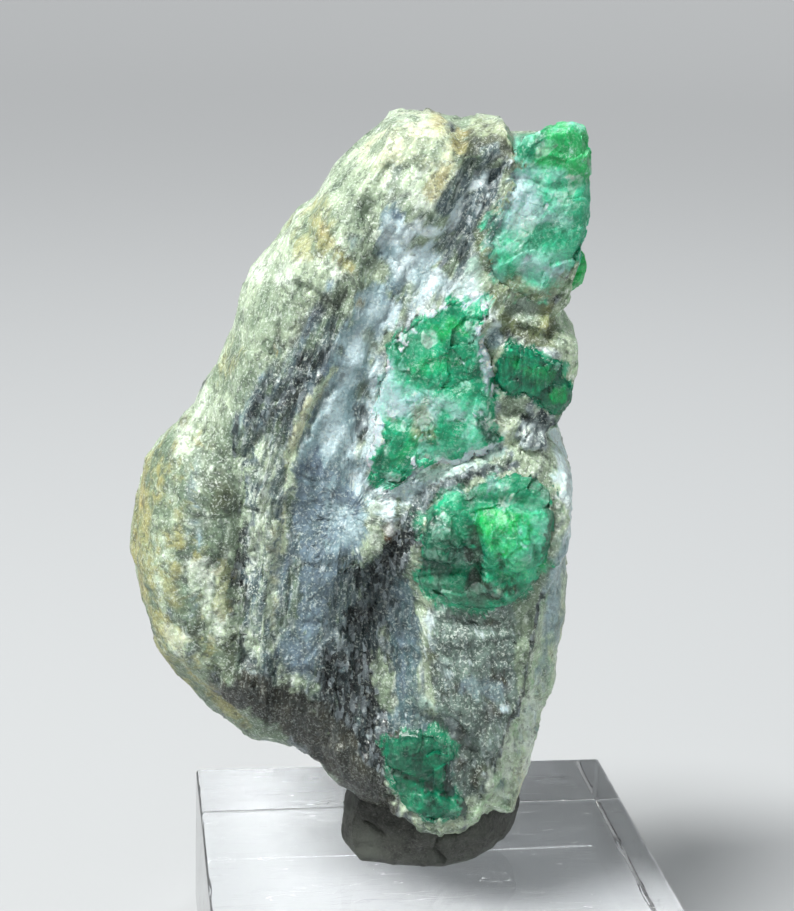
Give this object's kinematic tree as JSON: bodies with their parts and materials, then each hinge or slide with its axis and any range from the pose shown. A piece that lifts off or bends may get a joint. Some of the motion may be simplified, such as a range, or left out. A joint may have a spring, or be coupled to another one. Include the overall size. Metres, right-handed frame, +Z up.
{
  "type": "emerald in matrix",
  "caption": "Mineral specimen: emerald crystals in a mica schist and quartz matrix, held upright in putty on a clear square display block.",
  "frame": {"origin": "middle of the block's underside, where the object rests", "axes": "+Z up, along the object's height; the specimen's face looks towards -Y; +X is to the viewer's right"},
  "size_m": [0.0441, 0.0382, 0.0752],
  "materials": {
    "matrix": "rough grey-green mica schist with pale quartz and dark mica streaks",
    "emerald_pale": "frosted mint and blue-white emerald, fractured, satin",
    "emerald_vivid": "bright translucent green emerald, glossy",
    "emerald_dark": "deep green emerald, striated, glossy",
    "putty": "matte dark grey mounting putty with cracks",
    "acrylic": "clear polished acrylic with fine scratches and sawn edges"
  },
  "bodies": {
    "root": {"matrix": "matrix", "emerald_top": "emerald_pale", "emerald_edge": "emerald_vivid", "emerald_centre": "emerald_pale", "emerald_right": "emerald_dark", "emerald_lower": "emerald_vivid", "emerald_foot": "emerald_dark", "putty": "putty", "acrylic_base": "acrylic"}
  },
  "joints": []
}
